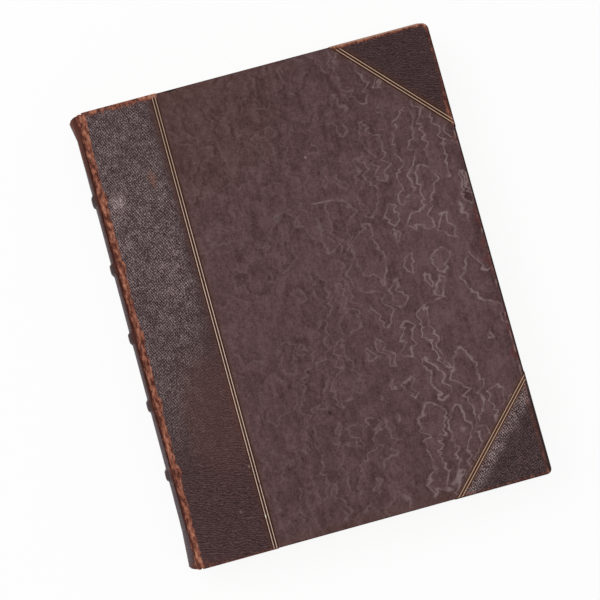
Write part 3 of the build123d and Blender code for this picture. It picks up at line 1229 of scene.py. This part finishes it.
def contourLines(place, shift):  # lines of equal height of a soft cloud
    x, y, z = axes(place)
    sizeX, sizeY = watered["sizeX"], watered["sizeY"]
    levels, width, jag = (watered[key] for key in ("levels", "lineWidth", "jag"))
    jagX = cloud(place, (2.2, 1.6, 9), 1.0, shift=(shift[0], shift[1], 0)) - 0.5
    jagY = cloud(place, (2.4, 2.8, 9), 1.0, shift=(shift[1], shift[0], 3)) - 0.5
    movedX = x + jagX * jag
    movedY = y + jagY * jag
    for length, swing in watered["zigzags"]:  # straight runs with sharp turns
        drift = cloud(place, (length * 3, length * 2, 30), 1.0, shift=(length, shift[0], 0))
        run = y / length + drift * 6
        movedX = movedX + (run.calc("PINGPONG", run, 1.0) - 0.5) * swing
    gap = 0.4
    heights = []
    for overX, overY in ((0, 0), (gap, 0), (0, gap)):
        point = place.node(
            "ShaderNodeCombineXYZ", {},
            {0: (movedX + overX) / sizeX + shift[0], 1: (movedY + overY) / sizeY + shift[1], 2: z / 40},
        )
        heights.append(noise(point, 1.5, 0.45))
    slopeX = (heights[1] - heights[0]) * (levels / gap)
    slopeY = (heights[2] - heights[0]) * (levels / gap)
    slope = (slopeX ** 2.0 + slopeY ** 2.0) ** 0.5
    level = heights[0] * levels
    off = abs(level.calc("FRACT", level) - 0.5)
    away = off / larger(slope, 0.004 * levels)
    breadth = 0.6 + 0.8 * cloud(place, (5, 7, 9), 1.0, shift=(shift[1], 2, shift[0]))
    ripple = wave(level, 1)
    return step(away / breadth, width * 1.8, width * 0.2), ripple


def makeWatered(name, marks):  # threads, watered lines, stain, rubbing, frayed edges and painted shade along the edges
    finish, shader, place = startFinish(name)
    x, y, _ = axes(place)
    threadsUp = cloud(place, (0.6, 2.4, 1.0)) - 0.5
    threadsOver = cloud(place, (2.4, 0.6, 1.0)) - 0.5
    streak = cloud(place, (2.0, 11.0, 4.0), 3.0, 0.6) - 0.5
    mottle = cloud(place, (6.0, 10.0, 10.0), 4.0, 0.6) - 0.5
    broad = cloud(place, (42, 52, 40)) - 0.5
    blotch = cloud(place, (2.4, 3.0, 3.0), 2.0, 0.6) - 0.5
    wavy = step(cloud(place, (20, 30, 20), shift=(4, 9, 2)), 0.4, 0.62)
    tone = 0.45 + threadsUp + threadsOver + streak * 0.7 + mottle * 0.8 + broad * 0.4 + blotch * 0.7
    fore = clothHigh.x / mm - x
    tone = tone + 0.12 * step(x, -10, 100) - 0.1 * step(y, 40, 130) - 0.32 * step(fore, 9, 2)
    tone = tone + 0.06 * step(abs(y - 10), 80, 30)
    clear, ripple = contourLines(place, watered["shift"])
    tone = tone + ripple * (0.05 + 0.09 * wavy)
    colour = shade(tone, watered["dark"], watered["light"])
    across = x + step(y, 20, -80) * 22
    right = 0.2 + 0.22 * step(across, -30, 40) * step(y, 120, 0) + 0.52 * step(across, 34, 86)
    shown = step(cloud(place, (6, 10, 20)), 0.34, 0.6)
    lineShare = clear * right * (0.2 + 0.62 * shown)
    colour = shade(lineShare, colour, watered["line"])
    brown = (step(y, 40, 150) * 0.3 + step(y, 132, 152) * 0.3) * step(x, 50, -60)
    brown = larger(brown, step(y + headY + mottle * 8, 9, 1) * 0.4)
    brown = larger(brown, step(nearestGold(x, y) + mottle * 3, 4.2, 1.2) * 0.6)
    colour = shade(brown * (0.6 + mottle), colour, watered["brown"])
    ragged = cloud(place, (2.4, 4.5, 2.4), 3.0, 0.62)
    wander = cloud(place, (9, 16, 9))
    ends = clothHigh.y / mm - abs(y)
    rub = step(fore + (ragged - 0.5) * 5 + (wander - 0.42) * 28, 5.0, 1.5) * 0.5
    rub = larger(rub, step(ends + (ragged - 0.5) * 2.5 + (wander - 0.5) * 2, 1.1, 0.2) * 0.6)
    colour = shade(rub, colour, watered["rub"])
    fray = step(abs(fore - 1.8), 0.7, 0.3) * step(ragged, 0.5, 0.64)
    colour = shade(fray * 0.55, colour, watered["fray"])
    # painted shade along the rounded fore-edge and the ends
    rim = larger(step(fore, 1.3, 0.8), step(ends, 0.6, 0.2))
    colour = shade(rim * 0.85, colour, watered["edgeDark"])
    colour = addMarks(colour, x, y, ragged, marks)
    height = (threadsUp + threadsOver) * 0.8 + clear * right * 0.4 + mottle * 0.6
    rough = watered["rough"] - lineShare * 0.15
    endFinish(shader, colour, rough, height, watered["depth"], watered["specular"])
    return finish


clothMarks = (
    {"at": (23.8, 55.5), "half": (9.0, 0.7), "turn": -0.05, "ragged": (0.35, 0.55), "amount": 0.6,
     "tint": (136, 118, 118)},
    {"at": (21.5, 86.4), "half": (0.9, 1.1), "ragged": (0.1, 0.2), "amount": 0.8, "tint": (150, 128, 124)},
    {"at": (6.3, 51.6), "half": (0.8, 0.8), "ragged": (0.1, 0.2), "amount": 0.6, "tint": (60, 40, 40)},
    {"at": (-6.7, 53.1), "half": (3.0, 4.0), "ragged": (0.2, 0.5), "amount": 0.35, "tint": (120, 104, 104)},
    {"at": (-7.2, -77.4), "half": (1.4, 2.2), "ragged": (0.1, 0.3), "amount": 0.8, "tint": (48, 34, 36)},
    {"at": (4.6, -100.0), "half": (0.8, 0.8), "ragged": (0.1, 0.2), "amount": 0.6, "tint": (140, 112, 104)},
    {"at": (69.1, 30.6), "half": (0.7, 0.7), "ragged": (0.1, 0.2), "amount": 0.5, "tint": (140, 118, 114)},
    {"at": (-52.0, 152.3), "half": (6.5, 2.0), "ragged": (0.1, 0.3), "amount": 1.0, "tint": (26, 19, 19)},
    {"at": (-48.8, -152.3), "half": (4.5, 1.2), "ragged": (0.1, 0.3), "amount": 1.0, "tint": (30, 21, 21)},
)
clothFront = makeWatered("wateredClothFront", clothMarks)
clothBack = makeWatered("wateredClothBack", ())
print("cloth finishes made")

# gilt, paper, thread and board
metal = {
    "gold": tint(216, 186, 172),
    "corner": tint(198, 163, 140),
    "dull": tint(162, 130, 108),
    "dim": tint(156, 124, 106),
    "bare": tint(70, 44, 30),
    "edge": tint(84, 58, 32),
    "rubbed": tint(118, 70, 44),
    # painted glint: colour, place and size of a highlight spot painted on the gilt
    "paintedGlint": tint(236, 222, 206),
    "paintedGlintAt": (-63.8, -130.4),
    "paintedGlintHalf": (1.4, 1.6),
    "half": (0.29, 0.16),  # worn away beyond the first, whole within the second
}


def makeGilt():
    finish, shader, place = startFinish("giltFillet")
    fleck = cloud(place, (1.2, 2.4, 1.2), 4.0, 0.65)
    fine = cloud(place, (0.35, 0.35, 0.35))
    x, y, z = axes(place)
    bright = shade(step(y, 0, 140) * 0.8, metal["gold"], metal["dim"])
    bright = shade(step(x, 0, 30), bright, metal["corner"])
    colour = shade(step(fine, 0.25, 0.6), metal["dull"], bright)
    worn = step(nearestGold(x, y), metal["half"][1], metal["half"][0])
    lost = step(fleck, 0.36, 0.29)
    rubbed = step(headY - y + (fleck - 0.5) * 2 - step(x, 0, 30) * 2.0, 1.5, 0.8)
    colour = shade(worn, colour, metal["edge"])
    colour = shade(lost, colour, metal["bare"])
    colour = shade(rubbed, colour, metal["rubbed"])
    # painted glint: a near-white highlight spot on the front gilt
    paintedGlint = dab(x, y, metal["paintedGlintAt"], metal["paintedGlintHalf"]) * step(z, halfZ, halfZ + 1)
    colour = shade(paintedGlint, colour, metal["paintedGlint"])
    gone = larger(lost, worn, rubbed)
    fleck.plug(shader.inputs["Metallic"], 0.35 - gone * 0.35)
    endFinish(shader, colour, 0.42 + gone * 0.3, fine - lost, depth=0.05, specular=0.4)
    return finish


paper = {
    "edge": tint(206, 190, 158),
    "shadow": tint(168, 146, 112),
    "leaf": tint(226, 214, 188),
    "fibre": tint(208, 192, 162),
    "stain": tint(186, 158, 116),
    "fox": tint(166, 124, 84),
    "flyleafFore": (114, 104),
    "flyleafEnd": 148.5,
    "flyleafTop": (13.7, 13.9),
}


def makePageEdges():
    finish, shader, place = startFinish("pageEdges")
    x, y, z = axes(place)
    sheets = cloud(place, (60, 60, 0.16), 3.0, 0.7)
    cloudy = cloud(place, (30, 30, 18), 4.0, 0.6)
    spots = step(cloud(place, (2.2, 2.2, 1.2)), 0.68, 0.76)
    colour = shade(step(sheets, 0.3, 0.62), paper["shadow"], paper["edge"])
    colour = shade(step(cloudy, 0.35, 0.8) * 0.45, colour, paper["stain"])
    inner = step(x, *paper["flyleafFore"]) * step(paper["flyleafEnd"] - abs(y), 0.2, 6)
    flat = inner * step(abs(z - halfZ), *paper["flyleafTop"])
    colour = shade(flat, colour, paper["leaf"])
    colour = shade(spots * 0.4, colour, paper["stain"])
    endFinish(shader, colour, 0.85 - spots * 0.1, sheets, depth=0.06, specular=0.15)
    return finish


def makeEndpaper():
    finish, shader, place = startFinish("endpaper")
    x, y, _ = axes(place)
    fibre = cloud(place, (1.2, 1.2, 1.2), 5.0, 0.65, turn=0.4)
    cloudy = cloud(place, (38, 46, 20), 4.0, 0.55)
    rim = step(lesser(paperHigh.x / mm - x, paperHigh.y / mm - abs(y)) + (cloudy - 0.5) * 22, 20, 0)
    colour = shade(fibre, paper["fibre"], paper["leaf"])
    colour = shade(rim * 0.55, colour, paper["stain"])
    foxing = step(cloud(place, (4.5, 4.5, 4.5), 3.0), 0.66, 0.74)
    colour = shade(foxing * 0.35, colour, paper["fox"])
    endFinish(shader, colour, 0.82 + rim * 0.08, fibre, depth=0.05, specular=0.15)
    return finish


silk = {
    "red": tint(92, 36, 34),
    "redLight": tint(142, 66, 56),
    "pale": tint(176, 152, 110),
    "paleLight": tint(222, 202, 160),
    "worn": tint(120, 100, 78),
    "stripeRings": 8,
}


def makeSilk():
    finish, shader, place = startFinish("endbandSilk")
    x, _, z = axes(place)
    angle = (z - halfZ).calc("ARCTAN2", z - halfZ, arcX - x)
    ring = arcAngle * endband["turn"] / endband["steps"]
    turns = angle / (ring * silk["stripeRings"])
    stripe = step(abs(turns.calc("FRACT", turns) - 0.5), 0.23, 0.27)
    fibre = cloud(place, (0.3, 1.5, 0.3), 3.0)
    worn = cloud(place, (3, 3, 3), 3.0)
    red = shade(fibre, silk["red"], silk["redLight"])
    pale = shade(fibre, silk["pale"], silk["paleLight"])
    colour = shade(stripe, red, pale)
    colour = shade(step(worn, 0.5, 0.75) * 0.4, colour, silk["worn"])
    endFinish(shader, colour, 0.5 + fibre * 0.2, fibre, depth=0.06, specular=0.35)
    return finish


board = {"dark": tint(112, 92, 70), "light": tint(176, 154, 122)}


def makeBoard():
    finish, shader, place = startFinish("greyBoard")
    layers = cloud(place, (30, 30, 0.3), 4.0, 0.6)
    fibre = cloud(place, (0.9, 0.9, 0.5), 5.0, 0.7)
    colour = shade(layers * 0.6 + fibre * 0.4, board["dark"], board["light"])
    x, y, _ = axes(place)
    pasted = step(x, sideLow.x / mm + 0.08, sideLow.x / mm + 0.04)  # paper over the spine edge
    colour = shade(pasted, colour, shade(fibre, paper["fibre"], paper["leaf"]))
    turned = step(abs(y), paperHigh.y / mm + 0.1, paperHigh.y / mm + 0.5)  # leather over the ends
    colour = shade(turned, colour, hide["edgeDark"])
    endFinish(shader, colour, 0.8 + fibre * 0.15, fibre + layers, depth=0.1, specular=0.15)
    return finish


cord = {"dark": tint(136, 112, 78), "light": tint(204, 184, 146)}


def makeCord():
    finish, shader, place = startFinish("sewingCord")
    strand = cloud(place, (0.5, 2.2, 0.5), 4.0, 0.6, turn=0.7)
    colour = shade(strand, cord["dark"], cord["light"])
    endFinish(shader, colour, 0.75 + strand * 0.15, strand, depth=0.2, specular=0.2)
    return finish


lining = {"dark": tint(150, 126, 90), "light": tint(204, 184, 148)}


def makeLining():
    finish, shader, place = startFinish("spineLining")
    up = cloud(place, (0.8, 9, 0.8), 3.0)
    over = cloud(place, (6, 0.8, 6), 3.0)
    colour = shade((up + over) * 0.5, lining["dark"], lining["light"])
    endFinish(shader, colour, 0.85 + up * 0.1, up + over, depth=0.12, specular=0.15)
    return finish


giltFinish = makeGilt()
pageFinish = makePageEdges()
endpaperFinish = makeEndpaper()
silkFinish = makeSilk()
boardFinish = makeBoard()
cordFinish = makeCord()
liningFinish = makeLining()
print("small finishes made")

# pieces take their bodies and finishes; the joint leather and the paper hinges take only finishes
for index, side in enumerate(("front", "back")):
    coverFinishes = {
        "leather_side": ("leather", hideFinishes[side + "Side"]),
        "head_corner": ("leather", hideFinishes["head"]),
        "tail_corner": ("leather", hideFinishes["tail"]),
        "cloth_side": ("cloth", (clothFront, clothBack)[index]),
    }
    for part, (slot, finish) in coverFinishes.items():
        settle(coverPieces[part][index], side + "_cover", side + "_" + part, finish)
settle(spineSkin, "text_block", "spine_leather", hideFinishes["spine"])
settle(pageBlock, "text_block", "text_block", pageFinish)
settle(headBand, "text_block", "head_endband", silkFinish)
settle(tailBand, "text_block", "tail_endband", silkFinish)
for strip, side in ((frontJoint, "front"), (backJoint, "back")):
    paint(strip, hideFinishes[side + "Side"])
    level = hinges[side + "_cover_hinge"]["pos_m"][2]
    side + "_cover"
    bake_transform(strip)
for sheet, side, sign in ((frontPaper, "front", 1), (backPaper, "back", -1)):
    paint(sheet, endpaperFinish)
    startZ, endZ = (midZ + sign * (row[1] * mm - midZ) for row in paperHinge["rows"])
    side + "_cover"
    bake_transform(sheet)
solidFinishes = {"board": boardFinish, "pastedown": endpaperFinish, "gilt_lines": giltFinish}
for side in ("front", "back"):
    for part, finish in solidFinishes.items():
        frame["nodes"][side + "_" + part].material_slots[0].material = finish
frame["nodes"]["sewing_cords"].material_slots[0].material = cordFinish
frame["nodes"]["spine_linings"].material_slots[0].material = liningFinish
print("bodies and finishes given")

clearPick()
